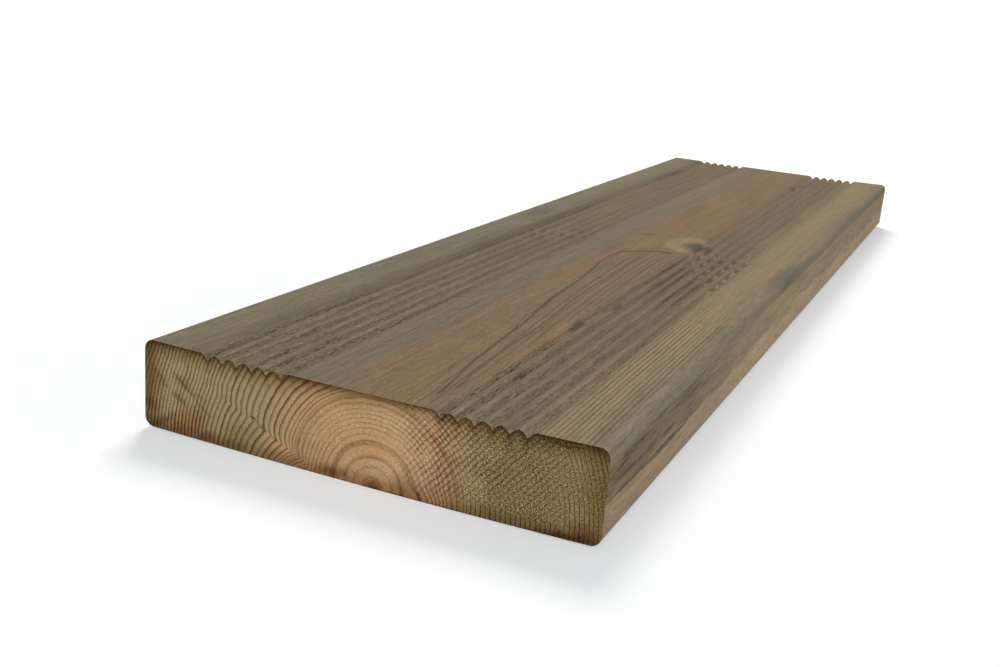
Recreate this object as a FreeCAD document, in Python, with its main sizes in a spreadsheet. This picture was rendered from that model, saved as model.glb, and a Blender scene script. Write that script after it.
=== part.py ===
import FreeCAD, Part
import Sketcher
import math
import os

# Softwood decking board, one short length of planed and grooved stock.
# Origin at the middle of the underside, +X across the board, +Y along the
# grain, +Z up to the grooved walking face. All sizes are in millimetres.

doc = FreeCAD.newDocument("DeckingBoard")

# Driving sizes
SIZES = {
    "board_length": 550,
    "board_width": 145,
    "board_thickness": 27,
    "arris_radius": 3,
    "edge_flat": 20,
    "grooves_per_band": 6,
    "groove_pitch": 5,
    "groove_depth": 1.8,
    "flank_angle": 50,
    "root_radius": 0.3,
    "lip_radius": 1.5,
}

sheet = doc.addObject("Spreadsheet::Sheet", "Sizes")
for row, (alias, size) in enumerate(SIZES.items(), start=1):
    sheet.set(f"A{row}", alias)
    sheet.set(f"B{row}", str(size))
    sheet.setAlias(f"B{row}", alias)
doc.recompute()

# Point numbers of a sketch line or arc, the sketch's own origin and its X axis
START, END, CENTRE = 1, 2, 3
ORIGIN = (-1, 1)
X_AXIS = -1

UPWARD = math.pi / 2
DOWNWARD = 3 * math.pi / 2
PARALLEL_WITHIN = 1e-6


def origin_plane(body, role):
    """The origin plane of a body with the given role."""
    return next(item for item in body.Origin.OriginFeatures if item.Role == role)


def section_sketch(body, name):
    """An empty sketch on the plane that crosses the board at mid length."""
    sketch = body.newObject("Sketcher::SketchObject", name)
    sketch.AttachmentSupport = (origin_plane(body, "XZ_Plane"), "")
    sketch.MapMode = "FlatFace"
    return sketch


def drive(sketch, kind, name, expression, *where):
    """Add a dimension to a sketch and bind it to the sheet."""
    start_value = float(sheet.evalExpression(expression))
    if kind == "Angle":
        start_value = math.radians(start_value)
    index = sketch.addConstraint(Sketcher.Constraint(kind, *where, start_value))
    sketch.renameConstraint(index, name)
    sketch.setExpression(f"Constraints.{name}", expression)


def sawn_blank(body):
    """The sawn rectangle, padded half each way from mid length."""
    sketch = section_sketch(body, "BlankSection")
    half_width = SIZES["board_width"] / 2
    corners = [
        FreeCAD.Vector(-half_width, 0, 0),
        FreeCAD.Vector(half_width, 0, 0),
        FreeCAD.Vector(half_width, SIZES["board_thickness"], 0),
        FreeCAD.Vector(-half_width, SIZES["board_thickness"], 0),
    ]
    for begin, finish in zip(corners, corners[1:] + corners[:1]):
        sketch.addGeometry(Part.LineSegment(begin, finish))
    bottom, right, top, left = range(4)
    for line, following in ((bottom, right), (right, top), (top, left), (left, bottom)):
        sketch.addConstraint(Sketcher.Constraint("Coincident", line, END, following, START))
    for line in (bottom, top):
        sketch.addConstraint(Sketcher.Constraint("Horizontal", line))
    for line in (right, left):
        sketch.addConstraint(Sketcher.Constraint("Vertical", line))
    sketch.addConstraint(Sketcher.Constraint("PointOnObject", bottom, START, X_AXIS))
    drive(sketch, "DistanceX", "half_width", "Sizes.board_width / 2", *ORIGIN, bottom, END)
    drive(sketch, "DistanceX", "width", "Sizes.board_width", bottom, START, bottom, END)
    drive(sketch, "DistanceY", "thickness", "Sizes.board_thickness", right, START, right, END)

    pad = body.newObject("PartDesign::Pad", "Blank")
    pad.Profile = sketch
    pad.SideType = "Symmetric"
    pad.setExpression("Length", "Sizes.board_length")
    doc.recompute()
    return pad


def long_edge_names(shape):
    """Names of the edges that run the whole length of the board."""
    names = []
    for index, edge in enumerate(shape.Edges, start=1):
        along = edge.tangentAt(edge.FirstParameter)
        if abs(abs(along.y) - 1) < PARALLEL_WITHIN:
            names.append(f"Edge{index}")
    return names


def ease_arrises(body, pad):
    """The four long edges, rounded over by the planer heads."""
    fillet = body.newObject("PartDesign::Fillet", "Arrises")
    fillet.Base = (pad, long_edge_names(pad.Shape))
    fillet.setExpression("Radius", "Sizes.arris_radius")
    doc.recompute()
    return fillet


def groove_section(body):
    """The cutter's profile for the outermost groove: a V with a small
    rounded root, whose two lips roll over into round crests."""
    sketch = section_sketch(body, "GrooveSection")
    angle = math.radians(SIZES["flank_angle"])
    root = SIZES["root_radius"]
    lip = SIZES["lip_radius"]
    top = SIZES["board_thickness"]
    middle = -SIZES["board_width"] / 2 + SIZES["edge_flat"] + SIZES["groove_pitch"] / 2
    rounding = (root + lip) * (1 - math.cos(angle))
    flank = (SIZES["groove_depth"] - rounding) / math.sin(angle)
    half_mouth = (root + lip) * math.sin(angle) + flank * math.cos(angle)

    def point(x, y):
        return FreeCAD.Vector(middle + x, top + y, 0)

    def flank_end(side, lip_end):
        """Where one flank meets its lip or the root."""
        if lip_end:
            return point(side * (half_mouth - lip * math.sin(angle)), -lip * (1 - math.cos(angle)))
        root_height = root * (1 - math.cos(angle)) - SIZES["groove_depth"]
        return point(side * root * math.sin(angle), root_height)

    def arc(centre, radius, begin, finish):
        circle = Part.Circle(centre, FreeCAD.Vector(0, 0, 1), radius)
        return sketch.addGeometry(Part.ArcOfCircle(circle, begin, finish))

    mouth = sketch.addGeometry(Part.LineSegment(point(-half_mouth, 0), point(half_mouth, 0)))
    left_lip = arc(point(-half_mouth, -lip), lip, UPWARD - angle, UPWARD)
    left_flank = sketch.addGeometry(Part.LineSegment(flank_end(-1, True), flank_end(-1, False)))
    root_centre = point(0, root - SIZES["groove_depth"])
    root_arc = arc(root_centre, root, DOWNWARD - angle, DOWNWARD + angle)
    right_flank = sketch.addGeometry(Part.LineSegment(flank_end(1, False), flank_end(1, True)))
    right_lip = arc(point(half_mouth, -lip), lip, UPWARD, UPWARD + angle)

    sketch.addConstraint(Sketcher.Constraint("Horizontal", mouth))
    sketch.addConstraint(Sketcher.Constraint("Coincident", mouth, START, left_lip, END))
    sketch.addConstraint(Sketcher.Constraint("Coincident", mouth, END, right_lip, START))
    sketch.addConstraint(Sketcher.Constraint("Vertical", left_lip, END, left_lip, CENTRE))
    sketch.addConstraint(Sketcher.Constraint("Vertical", right_lip, START, right_lip, CENTRE))
    sketch.addConstraint(Sketcher.Constraint("Tangent", left_lip, START, left_flank, START))
    sketch.addConstraint(Sketcher.Constraint("Tangent", left_flank, END, root_arc, START))
    sketch.addConstraint(Sketcher.Constraint("Tangent", root_arc, END, right_flank, START))
    sketch.addConstraint(Sketcher.Constraint("Tangent", right_flank, END, right_lip, END))
    drive(sketch, "Radius", "left_lip_radius", "Sizes.lip_radius", left_lip)
    drive(sketch, "Radius", "right_lip_radius", "Sizes.lip_radius", right_lip)
    drive(sketch, "Radius", "root_radius", "Sizes.root_radius", root_arc)
    drive(sketch, "Angle", "left_slope", "-Sizes.flank_angle", left_flank)
    drive(sketch, "Angle", "right_slope", "Sizes.flank_angle", right_flank)
    drive(sketch, "DistanceY", "face_height", "Sizes.board_thickness", *ORIGIN, mouth, START)
    drive(sketch, "DistanceY", "root_below_face", "Sizes.groove_depth - Sizes.root_radius",
          root_arc, CENTRE, mouth, START)
    drive(sketch, "DistanceX", "first_groove",
          "Sizes.board_width / 2 - Sizes.edge_flat - Sizes.groove_pitch / 2",
          root_arc, CENTRE, *ORIGIN)
    return sketch


def cut_grooves(body):
    """One groove right through, repeated across its band, and the band
    mirrored about the middle of the board."""
    sketch = groove_section(body)
    groove = body.newObject("PartDesign::Pocket", "Groove")
    groove.Profile = sketch
    groove.Type = "ThroughAll"
    groove.Midplane = True
    doc.recompute()

    bands = body.newObject("PartDesign::MultiTransform", "GrooveBands")
    bands.Originals = [groove]
    across = body.newObject("PartDesign::LinearPattern", "AcrossTheBand")
    across.Direction = (sketch, ["H_Axis"])
    across.Mode = "Spacing"
    across.setExpression("Offset", "Sizes.groove_pitch")
    across.setExpression("Occurrences", "Sizes.grooves_per_band")
    other_side = body.newObject("PartDesign::Mirrored", "OtherBand")
    other_side.MirrorPlane = (origin_plane(body, "YZ_Plane"), [""])
    bands.Transformations = [across, other_side]
    body.Tip = bands
    doc.recompute()
    return groove, bands


board = doc.addObject("PartDesign::Body", "DeckingBoard")
board.Label = "decking_board"
blank = sawn_blank(board)
arrises = ease_arrises(board, blank)
groove, bands = cut_grooves(board)
doc.recompute()

for item in doc.Objects:
    if "Invalid" in item.State or "Error" in item.State:
        raise RuntimeError(f"{item.Name} did not compute: {item.State}")
if board.Shape.isNull() or not board.Shape.isValid():
    raise RuntimeError("the board is not a valid solid")

one_groove = arrises.Shape.Volume - groove.Shape.Volume
all_grooves = arrises.Shape.Volume - bands.Shape.Volume
print(f"one groove takes {one_groove:.1f} mm3, all grooves take {all_grooves:.1f} mm3")
print(f"grooves cut: {all_grooves / one_groove:.3f}, solids: {len(board.Shape.Solids)}")
print(f"box: {board.Shape.BoundBox}")

os.makedirs("parts", exist_ok=True)
board.Shape.exportStep(f"parts/{board.Label}.step")
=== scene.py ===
import math

import bpy
from mathutils import Euler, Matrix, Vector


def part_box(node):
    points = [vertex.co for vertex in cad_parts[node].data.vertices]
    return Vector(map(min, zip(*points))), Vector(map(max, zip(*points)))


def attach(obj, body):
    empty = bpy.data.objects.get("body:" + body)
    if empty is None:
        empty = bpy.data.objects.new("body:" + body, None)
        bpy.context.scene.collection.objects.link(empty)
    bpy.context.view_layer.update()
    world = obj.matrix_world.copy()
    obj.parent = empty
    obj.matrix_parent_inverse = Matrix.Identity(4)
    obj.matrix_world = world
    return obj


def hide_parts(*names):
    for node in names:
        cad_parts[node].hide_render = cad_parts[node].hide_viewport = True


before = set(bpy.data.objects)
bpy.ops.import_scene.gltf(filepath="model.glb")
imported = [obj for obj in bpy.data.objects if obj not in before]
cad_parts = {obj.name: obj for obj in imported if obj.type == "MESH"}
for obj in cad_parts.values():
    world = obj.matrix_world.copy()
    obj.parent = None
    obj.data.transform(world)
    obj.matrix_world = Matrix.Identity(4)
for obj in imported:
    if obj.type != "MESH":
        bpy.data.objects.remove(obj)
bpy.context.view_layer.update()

# Camera. Low in front of the near end and a little to its right, looking
# along the board, with a plain lens.
CAMERA_PLACE = (0.1512, -0.5376, 0.1366)
CAMERA_TURN = (73.318, -4.665, 24.360)
LENS = 42.57

lens = bpy.data.cameras.new("camera")
lens.lens = LENS
lens.sensor_width = 36.0
lens.clip_start = 0.01
camera = bpy.data.objects.new("camera", lens)
camera.location = CAMERA_PLACE
camera.rotation_euler = Euler([math.radians(turn) for turn in CAMERA_TURN])
bpy.context.scene.collection.objects.link(camera)
bpy.context.scene.camera = camera

# Floor and light. A plain white table that keeps the board's soft shadow, in
# a white room. One soft lamp hangs high behind the board's left edge, and a
# second stands low in front, right of the camera, and lights the sawn end.
FLOOR_REACH = 6.0
FLOOR_COLOUR = (0.80, 0.80, 0.80, 1.0)
SEEN_GLOW = (0.27, 0.315, 0.345, 1.0)
SEEN_COLOUR = (0.84, 0.80, 0.77, 1.0)
WHITE = (1.0, 1.0, 1.0, 1.0)
BACKDROP_FROM = 0.6
BACKDROP_FULL = 1.2
ROOM_LEVEL = 0.30
SOFTBOXES = {
    "back": {"place": (-0.62, 1.28, 1.72), "width": 0.8, "power": 28.0},
    "front": {"place": (0.8, -1.8, 0.6), "width": 1.0, "power": 26.0},
}


class Figure:
    """A number inside a node tree, so that shapes and grain read as plain sums."""

    def __init__(self, tree, socket):
        self.tree = tree
        self.socket = socket

    def work(self, operation, *others, clamp=False):
        node = self.tree.nodes.new("ShaderNodeMath")
        node.operation = operation
        node.use_clamp = clamp
        for slot, value in zip(node.inputs, (self, *others)):
            feed(slot, value)
        return Figure(self.tree, node.outputs[0])

    def __add__(self, other):
        return self.work("ADD", other)

    def __sub__(self, other):
        return self.work("SUBTRACT", other)

    def __mul__(self, other):
        return self.work("MULTIPLY", other)

    def __truediv__(self, other):
        return self.work("DIVIDE", other)

    def __rsub__(self, other):
        return self * -1.0 + other

    def __rtruediv__(self, other):
        return self.work("POWER", -1.0) * other

    def __neg__(self):
        return self * -1.0

    __radd__ = __add__
    __rmul__ = __mul__


def feed(slot, value):
    """Give a node's input a figure, a socket or a plain value."""
    if isinstance(value, Figure):
        value.tree.links.new(value.socket, slot)
    elif isinstance(value, bpy.types.NodeSocket):
        value.node.id_data.links.new(value, slot)
    else:
        slot.default_value = value


def add(tree, kind, feeds=None, **settings):
    """Add a node with its settings, feed its inputs by name or number, and give it back."""
    node = tree.nodes.new(kind)
    for name, value in settings.items():
        setattr(node, name, value)
    for name, value in (feeds or {}).items():
        feed(node.inputs[name], value)
    return node


def mixed(tree, amount, under, over, blend="MIX"):
    """One colour over another, by an amount from nought to one."""
    node = add(tree, "ShaderNodeMix", {"Factor": amount, 6: under, 7: over},
               data_type="RGBA", blend_type=blend)
    return node.outputs[2]


def camera_seen(tree, *rays):
    """One for rays that the camera sees, straight or in a shiny surface."""
    light_path = add(tree, "ShaderNodeLightPath")
    seen = Figure(tree, light_path.outputs["Is Camera Ray"])
    for ray in rays:
        seen = seen.work("MAXIMUM", light_path.outputs[ray])
    return seen


def white_floor():
    """White paint, which the camera sees lit from within, and plain white beyond the shadow."""
    material = bpy.data.materials.new("white table")
    material.use_nodes = True
    tree = material.node_tree
    tree.nodes.clear()
    seen = camera_seen(tree, "Is Glossy Ray", "Is Transmission Ray")
    place = add(tree, "ShaderNodeTexCoord").outputs["Object"]
    away = add(tree, "ShaderNodeVectorMath", {0: place}, operation="LENGTH")
    backdrop = add(tree, "ShaderNodeMapRange", {"Value": away.outputs["Value"], "From Min": BACKDROP_FROM,
                                                "From Max": BACKDROP_FULL})
    glow_colour = mixed(tree, backdrop.outputs["Result"], SEEN_GLOW, WHITE)
    paint = add(tree, "ShaderNodeBsdfDiffuse", {"Color": mixed(tree, seen, FLOOR_COLOUR, SEEN_COLOUR)})
    glow = add(tree, "ShaderNodeEmission", {"Color": glow_colour, "Strength": seen})
    both = add(tree, "ShaderNodeAddShader", {0: paint.outputs[0], 1: glow.outputs[0]})
    add(tree, "ShaderNodeOutputMaterial", {"Surface": both.outputs[0]})
    return material


floor_mesh = bpy.data.meshes.new("floor")
floor_corners = ((-1, -1), (1, -1), (1, 1), (-1, 1))
floor_places = [(x * FLOOR_REACH, y * FLOOR_REACH, 0.0) for x, y in floor_corners]
floor_mesh.from_pydata(floor_places, [], [(0, 1, 2, 3)])
floor_mesh.materials.append(white_floor())
floor = bpy.data.objects.new("floor", floor_mesh)
bpy.context.scene.collection.objects.link(floor)

room = bpy.data.worlds.new("white room")
room.use_nodes = True
bpy.context.scene.world = room
room.node_tree.nodes.clear()
sky_seen = camera_seen(room.node_tree, "Is Transmission Ray")
sky = add(room.node_tree, "ShaderNodeBackground",
          {"Color": WHITE, "Strength": sky_seen * (1.0 - ROOM_LEVEL) + ROOM_LEVEL})
add(room.node_tree, "ShaderNodeOutputWorld", {"Surface": sky.outputs[0]})

for name, box in SOFTBOXES.items():
    lamp_data = bpy.data.lights.new(name, "AREA")
    lamp_data.size = box["width"]
    lamp_data.energy = box["power"]
    lamp = bpy.data.objects.new(name, lamp_data)
    lamp.location = box["place"]
    lamp.rotation_euler = lamp.location.to_track_quat("Z", "Y").to_euler()
    bpy.context.scene.collection.objects.link(lamp)
bpy.context.scene.view_settings.view_transform = "Standard"

# Decking board. One length of pressure treated softwood, planed on all four
# sides, grooved in two bands by the profile cutters and sawn square at both ends.
MM = 0.001
low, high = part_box("decking_board")
LENGTH = high[1] - low[1]
WIDTH = high[0] - low[0]
THICKNESS = high[2] - low[2]
BOARD_SIZES = {
    "Length": LENGTH,
    "Width": WIDTH,
    "Thickness": THICKNESS,
    "Arris Radius": 3.0 * MM,
    "Edge Flat": 20.0 * MM,
    "Groove Pitch": 5.0 * MM,
    "Groove Depth": 1.8 * MM,
    "Flank Angle": math.radians(50.0),
    "Root Radius": 0.3 * MM,
    "Lip Radius": 1.5 * MM,
    "Step Across": 2.0 * MM,
    "Cup": 0.75 * MM,
}
BOARD_COUNTS = {
    "Grooves per Band": 6,
    "Steps Along": 300,
}


def vector(tree, x, y, z):
    """Three figures as one vector."""
    return add(tree, "ShaderNodeCombineXYZ", {"X": x, "Y": y, "Z": z}).outputs[0]


def split(tree, place):
    """The three figures of a vector."""
    node = add(tree, "ShaderNodeSeparateXYZ", {"Vector": place})
    return [Figure(tree, socket) for socket in node.outputs]


def ease(tree, value, start, end):
    """Nought up to start, one from end on, and a smooth slope between."""
    node = add(tree, "ShaderNodeMapRange", {"Value": value, "From Min": start, "From Max": end},
               interpolation_type="SMOOTHSTEP")
    return Figure(tree, node.outputs["Result"])


def band(tree, value, start, full, fade, end):
    """Rises from start to full, stays at one, and falls from fade to end."""
    return ease(tree, value, start, full) * (1.0 - ease(tree, value, fade, end))


def stretched(tree, across, along, up, lengths, seed, detail=2.0, roughness=0.5):
    """Soft noise whose lumps have the given lengths in millimetres. It averages
    nought and swings about one each way."""
    place = vector(tree, across / lengths[0] + seed, along / lengths[1], up / lengths[2])
    node = add(tree, "ShaderNodeTexNoise", {"Vector": place, "Scale": 1.0, "Detail": detail,
                                            "Roughness": roughness})
    return Figure(tree, node.outputs[0]) * 4.0 - 2.0


def random_of(tree, number):
    """A random figure from nought to one for each whole number, always the same."""
    node = add(tree, "ShaderNodeTexWhiteNoise", {"W": number}, noise_dimensions="1D")
    return Figure(tree, node.outputs["Value"])


def groove_offset(tree, across):
    """How far a place lies to the right of the middle of its groove, in
    millimetres, and one where there are grooves at all."""
    pitch = BOARD_SIZES["Groove Pitch"] / MM
    outer = (WIDTH / 2 - BOARD_SIZES["Edge Flat"]) / MM
    inner = outer - BOARD_COUNTS["Grooves per Band"] * pitch
    aside = across.work("ABSOLUTE")
    step = (aside - inner) / pitch
    offset = (step - step.work("FLOOR") - 0.5) * pitch * across.work("SIGN")
    within = aside.work("GREATER_THAN", inner) * aside.work("LESS_THAN", outer)
    return offset, within


def groove_at(tree, across):
    """How far the grooves lie below the plain face at a place across, in millimetres."""
    offset, within = groove_offset(tree, across)
    bottom = 1.0 - ease(tree, offset.work("ABSOLUTE"), -0.6, 2.3)
    return bottom * within * (BOARD_SIZES["Groove Depth"] / MM)


def rise_at(tree, across, along):
    """How far the board has cupped and twisted upwards at a place, in millimetres."""
    aside = across / (WIDTH / MM / 2)
    flat = ease(tree, -across, 0.0, 20.0) * (along / (LENGTH / MM))
    return aside * aside * (1.0 - flat) * (BOARD_SIZES["Cup"] / MM)


# Scales: their spacing along a groove and where the first lies. Each patch of them leans
# across the board on a line through one place, and lies between two soft rims.
SCALE_SPACING = 13.6
FIRST_SCALE = 218.0
RIGHT_SCALES = {"across": 49.0, "along": 217.0, "lean": -1.2, "rims": (27.0, 28.5, 51.5, 53.0)}
LEFT_SCALES = {"across": -45.0, "along": 238.0, "lean": 0.8, "rims": (-58.0, -53.0, -27.0, -22.0)}


def beside(patch, across, along):
    """How far a place lies along the board from the leaning line of a patch."""
    line = (across - patch["across"]) * patch["lean"] + patch["along"]
    return (along - line).work("ABSOLUTE")


def scales_at(tree, across, along):
    """Where the cutters broke the grooves into scales beside the knots, and
    one in the dark pits between the scales."""
    chance = random_of(tree, (across / (BOARD_SIZES["Groove Pitch"] / MM)).work("FLOOR") + 0.5)
    stray = stretched(tree, across, along, across, (6.0, 12.0, 6.0), 19.0) * 0.24
    swirl = (along - FIRST_SCALE) / SCALE_SPACING + chance * 0.45 + stray
    pit = ease(tree, (swirl * (2 * math.pi)).work("COSINE"), -0.8, 0.9)
    widening = across - 19.0
    right_patch = 1.0 - ease(tree, beside(RIGHT_SCALES, across, along) - widening, 0.0, 9.0)
    right_patch = right_patch * band(tree, across, *RIGHT_SCALES["rims"])
    left_patch = 1.0 - ease(tree, beside(LEFT_SCALES, across, along), 6.0, 18.0)
    left_patch = left_patch * band(tree, across, *LEFT_SCALES["rims"])
    return right_patch.work("MAXIMUM", left_patch * 0.8), pit


def board_tree(material_long, material_end):
    """The board as a rule: one closed section, swept along its length."""
    tree = bpy.data.node_groups.new("planed board", "GeometryNodeTree")
    for name, value in BOARD_SIZES.items():
        socket = tree.interface.new_socket(name, in_out="INPUT", socket_type="NodeSocketFloat")
        socket.default_value = value
    for name, value in BOARD_COUNTS.items():
        socket = tree.interface.new_socket(name, in_out="INPUT", socket_type="NodeSocketInt")
        socket.default_value = value
    tree.interface.new_socket("Geometry", in_out="OUTPUT", socket_type="NodeSocketGeometry")
    entry = add(tree, "NodeGroupInput")
    size = {name: Figure(tree, entry.outputs[name]) for name in (*BOARD_SIZES, *BOARD_COUNTS)}

    # The section's corners in one line: two below, then three to a groove, then two
    slope = size["Flank Angle"]
    sharp_depth = size["Groove Depth"] + size["Root Radius"] * (1.0 / slope.work("COSINE") - 1.0)
    half_mouth = sharp_depth / slope.work("TANGENT")
    per_band = size["Grooves per Band"]
    grooves = per_band * 2.0
    index = Figure(tree, add(tree, "GeometryNodeInputIndex").outputs[0])
    turn = index - 3.0
    groove = (turn / 3.0).work("FLOOR")
    within = turn - groove * 3.0
    is_root = within.work("COMPARE", 1.0, 0.1)
    second_band = groove.work("GREATER_THAN", per_band - 0.5)
    step = groove - second_band * per_band
    outermost = size["Width"] / 2.0 - size["Edge Flat"] - size["Groove Pitch"] / 2.0
    innermost = outermost - size["Groove Pitch"] * (per_band - 1.0)
    first = outermost - second_band * (outermost + innermost)
    groove_x = first - step * size["Groove Pitch"] + (1.0 - within) * half_mouth
    groove_z = size["Thickness"] - is_root * sharp_depth
    on_groove = turn.work("GREATER_THAN", -0.5) * turn.work("LESS_THAN", grooves * 3.0 - 0.5)
    right_side = index.work("GREATER_THAN", 0.5) * index.work("LESS_THAN", 2.5)
    upper = index.work("GREATER_THAN", 1.5)
    corner_x = (right_side * 2.0 - 1.0) * size["Width"] / 2.0
    corner_z = upper * size["Thickness"]
    section_x = corner_x + on_groove * (groove_x - corner_x)
    section_z = corner_z + on_groove * (groove_z - corner_z)
    groove_radius = size["Lip Radius"] + is_root * (size["Root Radius"] - size["Lip Radius"])
    radius = size["Arris Radius"] + on_groove * (groove_radius - size["Arris Radius"])

    corners = add(tree, "GeometryNodeMeshLine", {"Count": grooves * 3.0 + 4.0})
    placed = add(tree, "GeometryNodeSetPosition", {"Geometry": corners.outputs[0],
                                                   "Position": vector(tree, section_x, -section_z, 0.0)})
    outline = add(tree, "GeometryNodeMeshToCurve", {"Mesh": placed.outputs[0]})
    closed = add(tree, "GeometryNodeSetSplineCyclic", {"Geometry": outline.outputs[0], "Cyclic": True})
    rounding = 2.0 + on_groove * (1.0 - is_root) * 3.0 + (1.0 - on_groove) * 6.0
    rounded = add(tree, "GeometryNodeFilletCurve", {"Curve": closed.outputs[0], "Radius": radius,
                                                    "Limit Radius": True, "Count": rounding}, mode="POLY")
    here = add(tree, "GeometryNodeInputPosition").outputs[0]
    section = add_even_steps(tree, rounded.outputs[0], here, size)

    half = size["Length"] / 2.0
    rail = add(tree, "GeometryNodeCurvePrimitiveLine", {"Start": vector(tree, 0.0, -half, 0.0),
                                                        "End": vector(tree, 0.0, half, 0.0)})
    stations = add(tree, "GeometryNodeResampleCurve", {"Curve": rail.outputs[0],
                                                       "Count": size["Steps Along"]})
    swept = add(tree, "GeometryNodeCurveToMesh", {"Curve": stations.outputs[0], "Profile Curve": section,
                                                  "Fill Caps": True})

    # A board dries into a slight cup, hollow side up, and its crests wear and tear
    x, y, z = split(tree, here)
    across = x / MM
    along = y / MM + LENGTH / MM / 2
    rise = rise_at(tree, across, along)
    depth = groove_at(tree, across)
    crest = depth.work("GREATER_THAN", 0.001) * (1.0 - ease(tree, depth, 0.0, 1.2))
    worn = (stretched(tree, across, along, z, (3.0, 26.0, 1.0), 7.0, 2.0) * 0.14 + 0.2).work("MAXIMUM", 0.0)
    upper = z.work("GREATER_THAN", size["Thickness"] / 2.0)
    scales, pit = scales_at(tree, across, along)
    valley = ease(tree, depth, 0.6, 1.7)
    scaled = pit * (1.0 - valley) * 0.2 - (1.0 - pit) * valley * 0.45
    lost = (crest * worn + scales * scaled) * upper
    cupped = add(tree, "GeometryNodeSetPosition", {"Geometry": swept.outputs[0],
                                                   "Offset": vector(tree, 0.0, 0.0, (rise - lost) * MM)})

    smooth = add(tree, "GeometryNodeSetShadeSmooth", {"Geometry": cupped.outputs[0], "Shade Smooth": True})
    bend = Figure(tree, add(tree, "GeometryNodeInputMeshEdgeAngle").outputs[0])
    is_sharp = bend.work("GREATER_THAN", math.radians(60))
    sharp = add(tree, "GeometryNodeSetShadeSmooth", {"Geometry": smooth.outputs[0], "Shade Smooth": False,
                                                     "Selection": is_sharp}, domain="EDGE")
    facing = split(tree, add(tree, "GeometryNodeInputNormal").outputs[0])[1]
    realized = add(tree, "GeometryNodeRealizeInstances", {"Geometry": sharp.outputs[0]})
    long_wood = add(tree, "GeometryNodeSetMaterial", {"Geometry": realized.outputs[0],
                                                      "Material": material_long})
    is_end = facing.work("ABSOLUTE").work("GREATER_THAN", 0.8)
    end_wood = add(tree, "GeometryNodeSetMaterial", {"Geometry": long_wood.outputs[0], "Selection": is_end,
                                                     "Material": material_end})
    add(tree, "NodeGroupOutput", {"Geometry": end_wood.outputs[0]})
    return tree


def add_even_steps(tree, curve, here, size):
    """Cut each flat stretch of the section into steps of about one size."""
    index = Figure(tree, add(tree, "GeometryNodeInputIndex").outputs[0])
    count = add(tree, "GeometryNodeAttributeDomainSize", {"Geometry": curve}, component="CURVE")
    points = Figure(tree, count.outputs["Point Count"])
    following = (index + 1.0).work("FLOORED_MODULO", points)
    ahead = add(tree, "GeometryNodeSampleIndex", {"Geometry": curve, "Index": following, "Value": here},
                data_type="FLOAT_VECTOR", domain="POINT")
    gap = add(tree, "ShaderNodeVectorMath", {0: here, 1: ahead.outputs[0]}, operation="DISTANCE")
    height = split(tree, here)[1] * -1.0
    coarser = 1.0 + 3.0 * height.work("LESS_THAN", size["Arris Radius"] * 0.01)
    cuts = (Figure(tree, gap.outputs["Value"]) / (size["Step Across"] * coarser)).work("FLOOR")
    divided = add(tree, "GeometryNodeSubdivideCurve", {"Curve": curve, "Cuts": cuts})
    return divided.outputs[0]


def as_seen(red, green, blue, light=1.0):
    """A tone as it looks in plain light, freed of the light and the sheen that fall there."""
    parts = [((part / 255 + 0.055) / 1.055) ** 2.4 for part in (red, green, blue)]
    return tuple((part - SHEEN) / light for part in parts) + (1.0,)


def wood_place(tree):
    """Millimetres across from the middle, along from the near end, and up."""
    place = split(tree, add(tree, "ShaderNodeTexCoord").outputs["Object"])
    across, along, up = [part / MM for part in place]
    return across, along + LENGTH / MM / 2, up


def tinted(tree, amount, colour, tint):
    """A colour that takes on a tint, by an amount from nought to one."""
    return mixed(tree, amount, colour, (*tint, 1.0), "MULTIPLY")


def toned(tree, colour, tone):
    """A colour made lighter or darker by a factor near one."""
    return mixed(tree, 1.0, colour, vector(tree, tone, tone, tone), "MULTIPLY")


def spot(tree, place, middle, reach, turn=(0.0, 0.0, 0.0), firm=0.45):
    """One in the middle of an oval, falling smoothly to nought at its rim."""
    local = add(tree, "ShaderNodeMapping", {"Vector": place, "Location": middle, "Rotation": turn,
                                            "Scale": reach}, vector_type="TEXTURE")
    far = add(tree, "ShaderNodeVectorMath", {0: local.outputs[0]}, operation="LENGTH")
    return 1.0 - ease(tree, Figure(tree, far.outputs["Value"]), firm, 1.0)


def scratch(tree, across, up, start, end, width):
    """One along a thin straight line between two places, nought beside it."""
    length = math.dist(start, end)
    lean = ((end[0] - start[0]) / length, (end[1] - start[1]) / length)
    ahead = (across - start[0]) * lean[0] + (up - start[1]) * lean[1]
    aside = ((across - start[0]) * lean[1] - (up - start[1]) * lean[0]).work("ABSOLUTE")
    return band(tree, ahead, 0.0, 2.0, length - 3.0, length) * (1.0 - ease(tree, aside, width * 0.3, width))


def traced(tree, across, along, places, width, squeeze=4.0):
    """One along a thin bent line through several places, nought beside it. The
    line is as wide as asked across the grain, and its bends are squeezed along it."""
    nearest = None
    for (start_across, start_along), (end_across, end_along) in zip(places, places[1:]):
        step = (end_across - start_across, (end_along - start_along) / squeeze)
        aside = across - start_across
        ahead = (along - start_along) / squeeze
        part = (aside * step[0] + ahead * step[1]).work("DIVIDE", math.hypot(*step) ** 2, clamp=True)
        left_over = (aside - part * step[0], ahead - part * step[1])
        far = (left_over[0] * left_over[0] + left_over[1] * left_over[1]).work("SQRT")
        nearest = far if nearest is None else nearest.work("MINIMUM", far)
    return 1.0 - ease(tree, nearest, width * 0.25, width)


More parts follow.
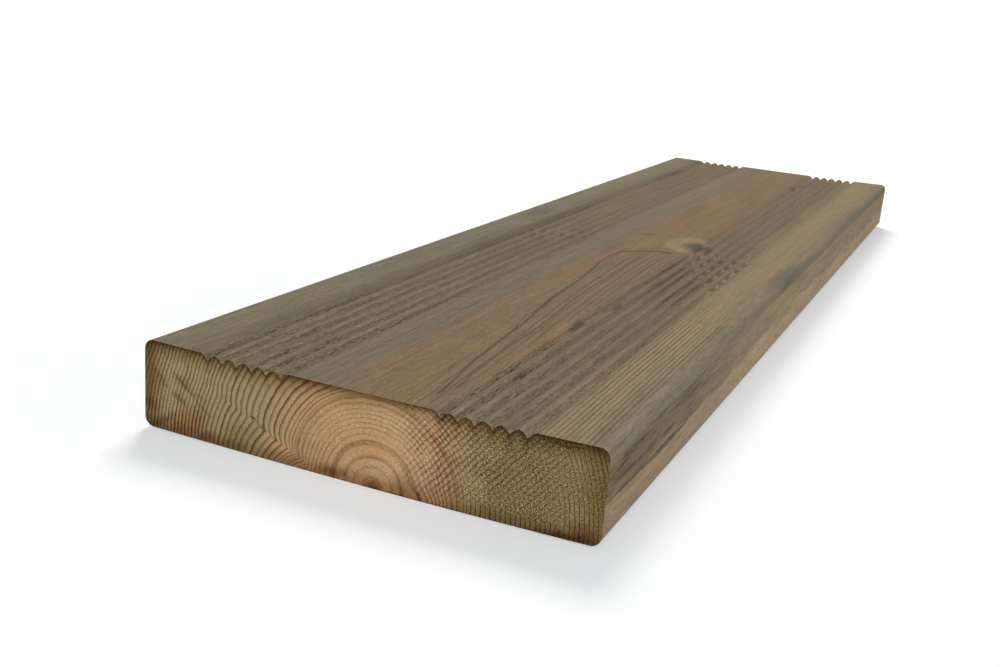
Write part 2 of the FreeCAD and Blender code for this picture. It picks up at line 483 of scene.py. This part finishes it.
# Distance of each ring from the pith in millimetres, then an even spacing to the bark
FIRST_RINGS = (3.3, 6.5, 9.2, 13.0, 15.6, 17.3, 18.6, 20.0, 21.3, 22.6, 24.2, 25.9, 26.8, 27.9, 28.9)
LEFT_RINGS = FIRST_RINGS + (30.4, 32.5, 34.5, 36.5, 38.7, 41.0, 43.2, 45.3, 47.2, 49.1, 50.9, 52.6, 54.2,
                            55.7, 57.1)
RIGHT_RINGS = FIRST_RINGS + tuple(30.3 + 1.42 * step for step in range(15))
LEFT_SPACING = 1.25
RIGHT_SPACING = 1.33
OUTERMOST = 90.0
MOST_RINGS = 70.0


def ring_count(tree, radius, rings, spacing):
    """How many rings lie within a radius."""
    node = add(tree, "ShaderNodeFloatCurve", {"Value": radius / OUTERMOST})
    curve = node.mapping.curves[0]
    last = len(rings) + (OUTERMOST - rings[-1]) / spacing
    curve.points[0].location = (0.0, 0.0)
    curve.points[1].location = (1.0, last / MOST_RINGS)
    for number, ring in enumerate(rings, start=1):
        curve.points.new(ring / OUTERMOST, number / MOST_RINGS)
    for point in curve.points:
        point.handle_type = "VECTOR"
    node.mapping.update()
    return Figure(tree, node.outputs[0]) * MOST_RINGS


def growth_tree():
    """Growth rings round a pith that starts in the underside, right of the middle,
    and sinks slowly away below the board."""
    tree = bpy.data.node_groups.new("growth", "ShaderNodeTree")
    for name in ("Across", "Along", "Up"):
        tree.interface.new_socket(name, in_out="INPUT", socket_type="NodeSocketFloat")
    for name in ("Radius", "Ring", "Right", "Slope"):
        tree.interface.new_socket(name, in_out="OUTPUT", socket_type="NodeSocketFloat")
    entry = add(tree, "NodeGroupInput")
    across, along, up = [Figure(tree, entry.outputs[name]) for name in ("Across", "Along", "Up")]

    pith_across = 5.8 - 8.8 * ease(tree, along, 0.0, 210.0) * (1.0 - ease(tree, across, 24.0, 48.0))
    sunk = 2.4 * (1.0 - (along / -75.0).work("EXPONENT")) + 0.006 * (along - 225.0).work("MAXIMUM", 0.0)
    aside = across - pith_across
    above = up - 0.5 + sunk
    plain_radius = (aside * aside + above * above).work("SQRT")
    wobble = stretched(tree, across, along, up, (14.0, 260.0, 14.0), 3.0, 3.0) * 0.35
    wobble = wobble + stretched(tree, across, along, up, (3.0, 40.0, 3.0), 9.0, 2.0) * 0.12
    radius = plain_radius + wobble

    # A branch stub pulls the rings into a step along a line down the left of the end
    step_line = 5.0 + 0.45 * (-21.8 - across)
    gentler = 1.0 - 0.65 * ease(tree, -across, 32.0, 52.0)
    below = (2.5 - 4.3 * (up / step_line.work("MAXIMUM", 1.0))).work("MAXIMUM", -1.8) * gentler
    fade = -1.5 - 0.09 * (-24.0 - across).work("MAXIMUM", 0.0)
    over = ((up - step_line).work("MAXIMUM", 0.0) / fade).work("EXPONENT")
    reach = ease(tree, radius, 16.0, 20.0) * ease(tree, -across, 14.0, 18.0)
    reach = reach * (1.0 - ease(tree, along, 10.0, 40.0))
    foot = 2.2 * (1.0 - ease(tree, up, 0.0, 5.0)) * band(tree, aside, 8.0, 14.0, 14.0, 28.0)
    radius = radius - below * over * reach - foot

    right = ease(tree, aside, -2.0, 2.0)
    left_count = ring_count(tree, radius, LEFT_RINGS, LEFT_SPACING)
    right_count = ring_count(tree, radius, RIGHT_RINGS, RIGHT_SPACING)
    count = left_count + (right_count - left_count) * right
    slope = (aside / plain_radius).work("ABSOLUTE")
    add(tree, "NodeGroupOutput", {"Radius": radius, "Ring": count, "Right": right, "Slope": slope})
    return tree


growth = growth_tree()


class Rings:
    """The growth rings at a place: how far out it lies, how far through its ring
    it is, how dark that ring's late wood is, and how steeply the rings stand."""

    def __init__(self, tree, across, along, up):
        node = add(tree, "ShaderNodeGroup", {"Across": across, "Along": along, "Up": up}, node_tree=growth)
        self.radius, ring, self.right, self.slope = [Figure(tree, socket) for socket in node.outputs]
        whole = ring.work("FLOOR")
        self.through = ring - whole
        self.chance = random_of(tree, whole)


def wood_material(name, colour_rule):
    """Dry bare wood: a colour, and a height in millimetres for its fine relief."""
    material = bpy.data.materials.new(name)
    material.use_nodes = True
    tree = material.node_tree
    wood = tree.nodes["Principled BSDF"]
    colour, height = colour_rule(tree)
    feed(wood.inputs["Base Color"], colour)
    relief = add(tree, "ShaderNodeBump", {"Height": height, "Distance": MM})
    feed(wood.inputs["Normal"], relief.outputs[0])
    wood.inputs["Roughness"].default_value = 0.8
    wood.inputs["Specular IOR Level"].default_value = 0.12
    return material


def across_ramp(tree, across, colours, light):
    """A colour for each place across the board."""
    node = add(tree, "ShaderNodeValToRGB", {"Fac": across / (WIDTH / MM) + 0.5})
    stops = node.color_ramp.elements
    for place, colour in colours.items():
        stop = stops.new(place / (WIDTH / MM) + 0.5)
        stop.color = as_seen(*colour, light)
    stops.remove(stops[-1])
    stops.remove(stops[0])
    return node.outputs[0]


# The sheen that dull wood keeps in this light, and how brightly the light falls on each face
SHEEN = 0.008
END_LIGHT = 0.88
TOP_LIGHT = 0.93
SIDE_LIGHT = 0.87

# Tones of the sawn end, between its rims
RIM_BROWN = (130, 110, 78)
LEFT_OLIVE = (147, 129, 97)
HEART_TAN = (168, 136, 101)
HEART_CREAM = (180, 149, 115)
ROUGH_OLIVE = (127, 109, 77)
ACROSS_END = {
    -71: RIM_BROWN, -64: LEFT_OLIVE, -33: LEFT_OLIVE, -10: HEART_TAN, 3: HEART_TAN, 20: HEART_CREAM,
    43: ROUGH_OLIVE, 71: ROUGH_OLIVE,
}
LATE_WOOD = (0.25, 0.19, 0.12)
ROUGH_LATE_WOOD = (0.34, 0.29, 0.22)

# Stains on the sawn end: middle, reach and turn in its own plane, tint, strength
END_STAINS = (
    ((-24.0, 5.0), (8.0, 4.0), -20, (1.22, 1.10, 1.05), 1.0),
    ((-15.0, 8.0), (9.0, 4.0), -20, (0.92, 0.86, 0.82), 0.8),
    ((5.5, 0.5), (4.2, 4.0), 0, (0.62, 0.50, 0.42), 1.0),
    ((6.5, 0.5), (2.4, 2.6), 0, (0.70, 0.66, 0.72), 0.9),
    ((7.5, 10.8), (6.0, 2.2), -5, (1.02, 0.88, 0.80), 0.9),
    ((-57.0, 4.5), (13.0, 6.5), 32, (0.82, 0.64, 0.48), 1.0),
    ((-50.0, 1.5), (6.0, 2.5), 20, (0.66, 0.52, 0.42), 0.9),
    ((-66.0, 3.5), (8.0, 2.0), 35, (0.62, 0.52, 0.42), 0.9),
    ((-71.0, 8.0), (4.0, 2.5), 35, (0.60, 0.50, 0.42), 0.8),
    ((-60.0, 11.8), (4.0, 1.6), -40, (0.56, 0.52, 0.42), 1.0),
    ((-66.0, 16.0), (5.0, 1.4), -40, (0.66, 0.62, 0.52), 0.9),
    ((-59.0, 17.0), (6.0, 2.0), -25, (0.62, 0.62, 0.54), 0.9),
    ((-53.0, 13.6), (5.0, 1.2), -10, (0.70, 0.70, 0.62), 0.8),
    ((-34.0, 11.3), (2.2, 0.8), -35, (0.42, 0.32, 0.24), 1.0),
    ((-30.5, 9.2), (1.6, 0.6), -50, (0.50, 0.38, 0.28), 1.0),
    ((-26.5, 7.0), (1.8, 0.6), -40, (0.60, 0.42, 0.30), 0.9),
    ((-71.0, 17.0), (4.5, 14.0), 0, (0.86, 0.74, 0.62), 0.9),
    ((-15.0, 17.5), (6.0, 3.0), 30, (1.0, 0.92, 0.86), 0.8),
    ((-42.0, 1.5), (8.0, 2.5), 10, (0.68, 0.62, 0.54), 0.9),
    ((-39.0, 6.0), (10.0, 4.5), 10, (0.80, 0.80, 0.76), 1.0),
    ((62.0, 1.0), (14.0, 2.4), 6, (0.48, 0.34, 0.24), 1.0),
    ((67.0, 4.0), (6.0, 3.5), 0, (0.78, 0.60, 0.46), 0.9),
    ((24.0, 5.0), (6.0, 3.0), 0, (0.78, 0.80, 0.84), 0.8),
    ((16.0, 3.0), (7.0, 5.0), 0, (0.74, 0.73, 0.68), 0.9),
    ((-8.0, 2.0), (7.0, 2.6), 10, (0.56, 0.48, 0.42), 0.9),
    ((62.0, 26.0), (6.0, 0.8), 0, (0.60, 0.42, 0.30), 0.9),
    ((48.0, 25.5), (4.0, 1.2), 0, (0.92, 1.0, 0.84), 0.8),
    ((22.0, 17.0), (5.0, 8.0), 0, (1.08, 0.98, 0.92), 0.8),
)
# Rings that stand out: distance from the pith, width, strength
DARK_RINGS = ((13.3, 0.7, 0.65), (9.3, 0.5, 0.4), (26.0, 0.45, 0.5), (24.4, 0.35, 0.35))
# A drying crack, from one place on the end to another, and its width
END_CRACK = ((-63.2, 20.3), (-47.6, 7.3), 0.3)
SAW_TURN = math.radians(50.0)
SAW_SPACING = 1.5


def end_rule(tree):
    """Colour and relief of the two sawn ends."""
    across, along, up = wood_place(tree)
    ragged_across = across + stretched(tree, across, along, up, (4.0, 50.0, 4.0), 31.0, 3.0) * 0.8
    ragged_up = up + stretched(tree, across, along, up, (4.0, 50.0, 4.0), 57.0, 3.0) * 0.8
    ragged = vector(tree, ragged_across, 0.0, ragged_up)
    ring = Rings(tree, across, along, up)
    grit = stretched(tree, across, along, up, (0.40, 50.0, 0.40), 13.0, 2.0, 0.6)
    speckle = stretched(tree, across, along, up, (0.9, 50.0, 0.9), 83.0, 2.0, 0.6)
    blotch = stretched(tree, across, along, up, (2.2, 50.0, 2.2), 23.0, 2.0)
    cloud = stretched(tree, across, along, up, (8.0, 50.0, 8.0), 29.0, 2.0)

    heart_edge = ring.radius + stretched(tree, across, along, up, (9.0, 90.0, 9.0), 5.0) * 2.5
    heart = 1.0 - ease(tree, heart_edge + ring.right * 1.5, 22.0, 34.0)
    colour = across_ramp(tree, across + blotch * 1.5 + cloud * 2.0, ACROSS_END, END_LIGHT)
    colour = tinted(tree, ease(tree, blotch + cloud * 0.6, -0.5, 0.9), colour, (0.90, 0.91, 0.88))

    # The late wood is dark and ends sharply. It shows less in the heart, and on the
    # rough right side only its sharp edge is left, apart from the board's rims.
    half_way_up = band(tree, up + blotch, 10.0, 13.0, 18.0, 22.0)
    side_rim = ease(tree, across + blotch, 59.0, 64.0) * (1.0 - 0.8 * half_way_up)
    foot_rim = 1.0 - ease(tree, up + blotch * 0.9, 1.8, 4.8)
    rough = ease(tree, across, 9.0, 22.0) * (1.0 - 0.8 * side_rim.work("MAXIMUM", foot_rim))
    dark = 0.6 + 0.4 * ring.chance
    thin = 0.38 + 0.24 * ease(tree, across, 14.0, 24.0).work("MAXIMUM", heart)
    late = band(tree, ring.through + speckle * 0.08, thin, 0.86, 0.93, 1.0) * dark
    clear = (1.0 - rough) * (1.0 - heart * (0.54 - 0.2 * cloud))
    colour = tinted(tree, late * clear, colour, LATE_WOOD)
    right_foot = ease(tree, across, 12.0, 18.0) * (1.0 - ease(tree, up, 1.0, 5.0))
    left_foot = ease(tree, -across, 42.0, 56.0) * (1.0 - ease(tree, up, 5.0, 13.0)) * 0.7
    heart_foot = band(tree, -across, 3.0, 8.0, 18.0, 24.0) * (1.0 - ease(tree, up, 7.0, 11.0)) * 0.5
    right_rim = ease(tree, across, 59.0, 63.0) * 0.5
    teeth = right_foot.work("MAXIMUM", left_foot).work("MAXIMUM", heart_foot).work("MAXIMUM", right_rim)
    colour = tinted(tree, late * teeth, colour, (0.32, 0.25, 0.20))
    for at, width, strength in DARK_RINGS:
        line = (1.0 - ease(tree, (ring.radius - at).work("ABSOLUTE"), 0.1, width)) * strength
        colour = tinted(tree, line, colour, (0.52, 0.36, 0.30))

    # Slanting marks of the saw cross the rings, deep on the right, where fibres also tore
    offset = across * math.sin(SAW_TURN) - up * math.cos(SAW_TURN)
    ahead = across * math.cos(SAW_TURN) + up * math.sin(SAW_TURN)
    tuft = stretched(tree, offset, along, ahead, (0.36, 50.0, 0.6), 37.0, 2.0, 0.6)
    offset = offset + stretched(tree, across, along, up, (6.0, 50.0, 6.0), 71.0) * 0.35 + speckle * 0.14
    saw = (offset * (2 * math.pi / SAW_SPACING)).work("SINE")
    patchy = 0.75 + 0.5 * cloud
    torn_middle = band(tree, across, 28.0, 38.0, 58.0, 66.0)
    lattice = rough * patchy * (0.88 - 0.48 * torn_middle) * (1.0 - 0.7 * ease(tree, across, 55.0, 62.0))
    grooved = lattice + rough * torn_middle * 0.28 * ease(tree, up, 6.0, 13.0)
    colour = tinted(tree, ease(tree, saw, -0.1, 0.95) * grooved, colour, ROUGH_LATE_WOOD)
    crossing = band(tree, ring.through + speckle * 0.12, 0.35, 0.78, 0.9, 1.0)
    colour = tinted(tree, crossing * lattice * 0.9, colour, ROUGH_LATE_WOOD)
    border = ease(tree, across.work("ABSOLUTE"), 50.0, 62.0)
    stronger = 1.0 + border + heart * 0.9 + ease(tree, across, 56.0, 62.0) * 1.3
    even = (grit * 0.18 + speckle * 0.10) * stronger
    torn = (tuft * 0.80 + speckle * 0.16 + grit * 0.80) * (0.50 + 0.80 * ease(tree, across, 28.0, 38.0))
    colour = toned(tree, colour, (1.0 + even + (torn - even) * rough).work("MAXIMUM", 0.25))
    colour = tinted(tree, ease(tree, tuft, 0.2, 1.0) * rough * 0.6, colour, (1.12, 1.13, 1.06))

    # The rims took more preservative than the middle, along the grooves too
    below_face = THICKNESS / MM + rise_at(tree, across, along) - groove_at(tree, across) - up
    wide_rim = 1.0 - ease(tree, below_face + blotch * 1.4, 0.5, 6.5)
    colour = tinted(tree, wide_rim * (1.0 - 0.5 * heart), colour, (0.54, 0.50, 0.40))
    top_rim = 1.0 - ease(tree, below_face + blotch * 0.4 + speckle * 0.25, 0.2, 2.2)
    colour = tinted(tree, top_rim * (1.0 - 0.3 * heart), colour, (0.50, 0.43, 0.34))
    edge = 1.0 - ease(tree, below_face + speckle * 0.15, 0.0, 0.6)
    colour = tinted(tree, edge * 0.7, colour, (0.40, 0.33, 0.28))
    foot = 1.0 - ease(tree, up + blotch * 1.0, 0.6, 6.0)
    colour = tinted(tree, foot, colour, (0.58, 0.50, 0.42))
    sides = ease(tree, across.work("ABSOLUTE") + blotch * 0.6, 64.0, 72.2)
    colour = tinted(tree, sides, colour, (0.70, 0.61, 0.50))
    under = (1.0 - ease(tree, up + speckle * 0.15, 0.1, 0.8)) * (0.3 + 0.6 * ease(tree, across, 4.0, 10.0))
    colour = tinted(tree, under, colour, (0.46, 0.38, 0.32))
    for middle, reach, turn, tint, strength in END_STAINS:
        oval = spot(tree, ragged, (middle[0], 0.0, middle[1]), (reach[0], 1000.0, reach[1]),
                    (0.0, -math.radians(turn), 0.0), 0.2)
        colour = tinted(tree, oval * strength, colour, tint)
    crack = scratch(tree, across, up + blotch * 0.08, *END_CRACK)
    colour = tinted(tree, crack * 0.7, colour, (0.42, 0.36, 0.28))
    height = grit * 0.04 + tuft * 0.10 * rough - late * clear * 0.06 - saw * 0.06 * rough
    return colour, height


# Tones of the walking face, named after where each lies. The tone beside the left grooves is painted shade.
ARRIS_GREY = (127, 118, 100)
FLAT_SAGE = (127, 116, 95)
# Painted shade beside the first left groove, where its outer flank falls in shade
SHADE_BESIDE_GROOVES = (114, 103, 84)
GROOVED = (124, 110, 90)
MIDDLE_TAN = (131, 110, 85)
RIGHT_SHOULDER = (137, 121, 97)
RIGHT_STRAW = (145, 128, 100)
ACROSS_TOP = {
    -72: ARRIS_GREY, -60: FLAT_SAGE, -52: SHADE_BESIDE_GROOVES, -46: GROOVED, -13: GROOVED, -5: MIDDLE_TAN,
    20: MIDDLE_TAN, 27: GROOVED, 44: GROOVED, 51: RIGHT_SHOULDER, 56: RIGHT_STRAW, 63: RIGHT_STRAW,
    68: RIGHT_SHOULDER, 72: ARRIS_GREY,
}

# Tones of the sides: clean wood low down and the stain above it, near and farther along
SIDE_FOOT_NEAR = (147, 129, 103)
SIDE_FOOT_FAR = (168, 148, 118)
SIDE_STAIN_NEAR = (112, 99, 80)
SIDE_STAIN_FAR = (146, 129, 103)

# Stains on the walking face, and last a strip of painted shade along the first left groove: middle across and
# along, reach, turn, tint, strength
TOP_STAINS_AND_SHADE = (
    ((-15.0, 10.0), (12.0, 120.0), 0, (0.95, 1.0, 1.06), 1.0),
    ((11.0, 195.0), (15.0, 80.0), 0, (0.94, 0.97, 0.98), 1.0),
    ((-17.0, 430.0), (10.0, 190.0), 0, (1.10, 1.06, 1.0), 1.0),
    ((3.0, 67.0), (3.0, 8.0), -12, (0.74, 0.84, 1.0), 0.9),
    ((-4.0, 185.0), (5.0, 55.0), -2, (1.10, 0.98, 0.86), 0.8),
    ((9.0, 15.0), (8.0, 18.0), 0, (1.08, 0.97, 0.86), 0.7),
    ((3.0, 335.0), (14.0, 75.0), 0, (1.07, 0.94, 0.84), 0.8),
    ((2.0, 254.0), (14.0, 20.0), 0, (1.04, 1.08, 0.92), 1.0),
    ((3.5, 206.0), (4.5, 20.0), 0, (0.92, 0.92, 1.04), 0.9),
    ((5.0, 127.0), (1.4, 18.0), 6, (0.72, 0.74, 0.88), 0.9),
    ((24.0, 103.0), (1.6, 12.0), 5, (0.62, 0.64, 0.66), 0.9),
    ((28.0, 133.0), (1.5, 9.0), 0, (0.62, 0.60, 0.60), 0.9),
    ((29.5, 45.0), (1.2, 5.0), 0, (0.66, 0.62, 0.66), 0.9),
    ((38.0, 32.0), (1.8, 7.0), 8, (1.04, 0.86, 0.86), 0.9),
    ((49.0, 57.0), (1.5, 7.0), 5, (1.00, 0.84, 0.82), 0.9),
    ((20.5, 246.0), (3.5, 5.0), 0, (1.22, 1.22, 1.18), 0.9),
    ((-3.0, 271.0), (6.0, 3.0), 30, (0.72, 0.72, 0.76), 0.8),
    ((-10.0, 283.0), (2.5, 14.0), -25, (0.90, 0.92, 1.06), 0.8),
    ((-64.0, 283.0), (8.0, 24.0), 0, (0.80, 0.82, 0.86), 1.0),
    ((-60.0, 247.0), (9.0, 14.0), -20, (1.12, 1.12, 1.08), 0.9),
    ((-55.0, 252.0), (3.0, 7.0), -30, (1.30, 1.20, 1.0), 0.8),
    ((26.0, 490.0), (3.5, 14.0), -10, (0.68, 0.65, 0.62), 0.9),
    ((70.0, 226.0), (5.0, 36.0), 0, (0.74, 0.78, 0.88), 0.9),
    ((69.0, 400.0), (4.0, 60.0), 0, (0.84, 0.86, 0.92), 0.9),
    ((-50.0, 480.0), (4.0, 22.0), 0, (0.82, 0.82, 0.80), 0.8),
    # Painted shade along the outer flank of the first left groove
    ((-53.0, 230.0), (3.2, 190.0), 0, (0.84, 0.83, 0.82), 1.0),
)
# The knot: a pale halo, its dark core and a split across it
KNOT_PLACE = (19.5, 262.0)
KNOT_REACH = (13.0, 21.0)
KNOT_CORE_PLACE = (24.0, 260.0)
KNOT_CORE_REACH = (9.5, 14.0)
KNOT_SPLIT = ((17, 262), (24, 263), (31, 257))
# Two long growth lines that run from the sawn end up the middle, one round the knot
LONG_LINES = (
    ((18, 13), (13, 48), (9, 96), (5, 127), (2, 167), (-1, 193), (-2.5, 214), (-1, 225), (4, 230.5),
     (12, 237), (18, 238)),
    ((20, 20), (17, 50), (15, 91), (11, 140), (10, 170), (9, 220)),
)
# Painted shade on the right-facing groove flanks beside the knot: place across, and where each starts and
# ends along the board
FLANK_SHADES = (
    (29.5, 140.0, 228.0), (33.5, 150.0, 222.0), (39.0, 146.0, 215.0), (43.5, 135.0, 205.0),
    (24.5, 175.0, 236.0),
)
# Torn fibres in the valleys at the sawn end: groove, and how far in they reach
TEARS = (
    (25.0, 110.0), (30.0, 80.0), (35.0, 45.0), (-25.0, 125.0), (-30.0, 90.0), (-35.0, 40.0), (-50.0, 110.0),
)


def long_rule(tree):
    """Colour and relief of the walking face and the other three planed faces."""
    across, along, up = wood_place(tree)
    ring = Rings(tree, across, along, up)
    waver = stretched(tree, across, along, up, (6.0, 60.0, 6.0), 17.0) * 0.8
    ragged = vector(tree, across + waver, along, 0.0)
    is_top = ease(tree, up, 22.8, 25.0)

    top = across_ramp(tree, across, ACROSS_TOP, TOP_LIGHT)
    # Stains, and one strip of painted shade beside the left grooves
    for place, reach, turn, tint, strength in TOP_STAINS_AND_SHADE:
        oval = spot(tree, ragged, (*place, 0.0), (*reach, 1000.0), (0.0, 0.0, math.radians(turn)), 0.25)
        top = tinted(tree, oval * strength, top, tint)

    around = vector(tree, across + waver * 0.6, along + waver * 2.0, 0.0)
    halo = spot(tree, around, (*KNOT_PLACE, 0.0), (*KNOT_REACH, 1000.0), (0.0, 0.0, 0.1), 0.7)
    inside = spot(tree, around, (KNOT_PLACE[0] + 3.0, KNOT_PLACE[1] - 2.0, 0.0),
                  (KNOT_REACH[0] * 0.68, KNOT_REACH[1] * 0.62, 1000.0), (0.0, 0.0, 0.1), 0.5)
    core = spot(tree, around, (*KNOT_CORE_PLACE, 0.0), (*KNOT_CORE_REACH, 1000.0), (0.0, 0.0, -0.1), 0.3)
    top = tinted(tree, halo * (1.0 - ease(tree, across, 23.0, 31.0)), top, (1.32, 1.37, 1.32))
    top = tinted(tree, inside * 0.8, top, (0.84, 0.85, 0.92))
    top = tinted(tree, core, top, (0.60, 0.62, 0.74))
    split_line = traced(tree, across + waver * 0.3, along, KNOT_SPLIT, 0.9)
    top = tinted(tree, split_line * 0.5, top, (0.62, 0.60, 0.62))
    bent = across + stretched(tree, across, along, up, (8.0, 20.0, 8.0), 27.0) * 0.5
    for line, strength in zip(LONG_LINES, (1.0, 0.75)):
        mark = traced(tree, bent, along, line, 0.75) * strength
        top = tinted(tree, mark, top, (0.60, 0.57, 0.62))

    side_low = mixed(tree, ease(tree, along, 0.0, 220.0), as_seen(*SIDE_FOOT_NEAR, SIDE_LIGHT),
                     as_seen(*SIDE_FOOT_FAR, SIDE_LIGHT))
    side_high = mixed(tree, ease(tree, along, 20.0, 200.0), as_seen(*SIDE_STAIN_NEAR, SIDE_LIGHT),
                      as_seen(*SIDE_STAIN_FAR, SIDE_LIGHT))
    streak = stretched(tree, across, along, up, (2.2, 34.0, 2.2), 61.0, 3.0, 0.6)
    thread = stretched(tree, across, along, up, (0.7, 16.0, 0.7), 67.0, 3.0, 0.65)
    slow = stretched(tree, across, along, up, (9.0, 60.0, 9.0), 63.0)
    stain_edge = up + streak * 2.8 + thread * 1.8 + slow * 2.0
    side = mixed(tree, ease(tree, stain_edge, 10.0, 14.0), side_low, side_high)
    dark_stain = ease(tree, up, 8.0, 14.0) * (1.0 - 0.75 * ease(tree, along, 50.0, 130.0))
    smudge = ease(tree, streak + thread * 0.7, -0.1, 0.6)
    side = tinted(tree, smudge * dark_stain, side, (0.50, 0.53, 0.60))
    side = tinted(tree, ease(tree, -thread, 0.1, 0.8) * dark_stain * 0.8, side, (1.30, 1.26, 1.20))
    side = tinted(tree, ease(tree, thread, 0.15, 0.7) * 0.45, side, (0.60, 0.56, 0.52))
    colour = mixed(tree, is_top, side, top)

    # Fibres, in threads of several lengths, and short dark pores between them
    speck = stretched(tree, across, along, up, (0.6, 1.6, 0.6), 53.0, 2.0, 0.6)
    hair = stretched(tree, across, along, up, (0.45, 5.0, 0.45), 39.0, 2.0, 0.6)
    fibre = stretched(tree, across, along, up, (0.9, 22.0, 0.9), 41.0, 3.0, 0.6)
    strand = stretched(tree, across, along, up, (2.2, 55.0, 2.2), 45.0, 3.0)
    cloud = stretched(tree, across, along, up, (9.0, 70.0, 9.0), 43.0, 3.0)

    # Late wood shows as thin dark lines: nested points in the middle, straight on the right edge
    away = (1.0 - ring.through) * 1.6 / ring.slope.work("MAXIMUM", 0.15)
    in_middle = band(tree, across, -10.0, 5.0, 19.0, 23.0) * (1.0 - 0.8 * ease(tree, along, 215.0, 250.0))
    on_right = band(tree, across, 50.0, 53.0, 67.0, 70.0) * (1.0 - 0.92 * ease(tree, along, 80.0, 195.0))
    beside_point = ease(tree, ring.slope, 0.08, 0.26)
    seen = (in_middle * beside_point * 0.65).work("MAXIMUM", on_right)
    faint = 0.2 * band(tree, across, -72.0, -66.0, 66.0, 69.0) * (1.0 - 0.8 * ease(tree, along, 200.0, 330.0))
    seen = seen.work("MAXIMUM", faint) * is_top
    seen = seen * (0.65 + 0.35 * ring.chance)
    line = 1.0 - ease(tree, away, 0.15, 0.68)
    shade = 1.0 - ease(tree, away, 0.2, 2.2)
    colour = tinted(tree, line * seen * (0.8 + fibre * 0.4), colour, (0.26, 0.23, 0.25))
    colour = tinted(tree, shade * seen * 0.4, colour, (0.60, 0.54, 0.48))

    calm = 1.0 - 0.6 * ease(tree, along, 110.0, 330.0)
    lively = ease(tree, groove_at(tree, across), 0.0, 0.3) * (1.0 - ease(tree, along, 40.0, 150.0))
    threads = speck * (0.11 + 0.24 * lively) + hair * (0.19 + 0.12 * lively) + fibre * (0.17 + 0.05 * lively)
    threads = threads * calm
    tone = 1.04 + threads + strand * 0.10 + cloud * 0.07
    colour = toned(tree, colour, tone)
    pore = ease(tree, stretched(tree, across, along, up, (0.4, 9.0, 0.4), 49.0, 2.0), 0.45, 1.0)
    colour = tinted(tree, pore * 0.55 * calm, colour, (0.50, 0.46, 0.42))
    tan = ease(tree, strand + cloud, -0.2, 1.2)
    colour = tinted(tree, tan * 0.6, colour, (1.06, 1.0, 0.90))

    # The valleys are torn near the sawn end. There painted light brightens the crests and painted shade
    # darkens the valley bottoms. Painted light brightens every valley, and farther along painted light on the
    # right-facing flanks and painted shade on the left-facing ones flatten the grooves.
    depth = groove_at(tree, across) * is_top
    valley = ease(tree, depth, 0.7, 1.6)
    offset, within = groove_offset(tree, across)
    far_grooves = ease(tree, along, 200.0, 430.0) * within * is_top
    near_grooves = (1.0 - ease(tree, along, 90.0, 220.0)) * within * is_top
    left_flank = band(tree, offset, -2.3, -1.0, -0.3, 0.7)
    right_flank = band(tree, offset, 0.3, 1.2, 1.8, 2.5)
    bottom = band(tree, offset, -0.7, 0.4, 1.0, 2.0) * (0.85 + fibre * 0.4)
    # Painted light in the valleys, and farther along painted light on right-facing flanks and painted shade
    # on left-facing ones
    painted_valley_light = valley * 0.27 + (left_flank * 0.2 - right_flank * 0.12 - valley * 0.1) * far_grooves
    # Painted light on the crests and painted shade in the valley bottoms near the sawn end
    painted_crest_light_valley_shade = ((1.0 - ease(tree, depth, 0.0, 0.9)) * 0.10 - bottom * 0.33 - 0.05) * near_grooves
    colour = toned(tree, colour, 1.0 + painted_valley_light + painted_crest_light_valley_shade + on_right * 0.08)
    dash = ease(tree, stretched(tree, across, along, up, (0.5, 3.5, 0.5), 91.0, 2.0), 0.1, 0.5)
    for groove, reach in TEARS:
        inside = 1.0 - ease(tree, (across - groove).work("ABSOLUTE"), 0.5, 1.3)
        length = 1.0 - ease(tree, along, reach * 0.5, reach)
        colour = tinted(tree, inside * length * dash * is_top * 0.9, colour, (0.30, 0.27, 0.24))
    # Painted shade: dark streaks on the right-facing groove flanks beside the knot
    for place, start, end in FLANK_SHADES:
        inside = 1.0 - ease(tree, (across + waver * 0.3 + hair * 0.3 - place).work("ABSOLUTE"), 0.1, 0.9)
        length = band(tree, along + fibre * 16.0, start, start + 25.0, end - 12.0, end) * (0.75 + fibre * 0.7)
        flank_shade = (inside * length * is_top * 0.9).work("MAXIMUM", 0.0)
        colour = tinted(tree, flank_shade, colour, (0.46, 0.41, 0.36))
    scales, pit = scales_at(tree, across, along)
    # Painted shade in the pits between the scales
    colour = tinted(tree, scales * pit * ease(tree, depth, 0.0, 1.2), colour, (0.66, 0.62, 0.55))
    # Painted highlight on the scales between the pits
    colour = tinted(tree, scales * (1.0 - pit) * 0.15, colour, (1.10, 1.08, 1.04))
    height = hair * 0.03 + fibre * 0.04 - line * seen * 0.08 - pore * 0.05
    return colour, height


long_grain = wood_material("planed long grain", long_rule)
end_grain = wood_material("sawn end grain", end_rule)

carrier = bpy.data.objects.new("board rule", bpy.data.meshes.new("board rule"))
bpy.context.scene.collection.objects.link(carrier)
rule = carrier.modifiers.new("planed board", "NODES")
rule.node_group = board_tree(long_grain, end_grain)
shown = bpy.context.evaluated_depsgraph_get()
board_mesh = bpy.data.meshes.new_from_object(carrier.evaluated_get(shown))
bpy.data.objects.remove(carrier)
board_mesh.name = "board"
board = bpy.data.objects.new("board", board_mesh)
bpy.context.scene.collection.objects.link(board)
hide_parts("decking_board")
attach(board, "root")
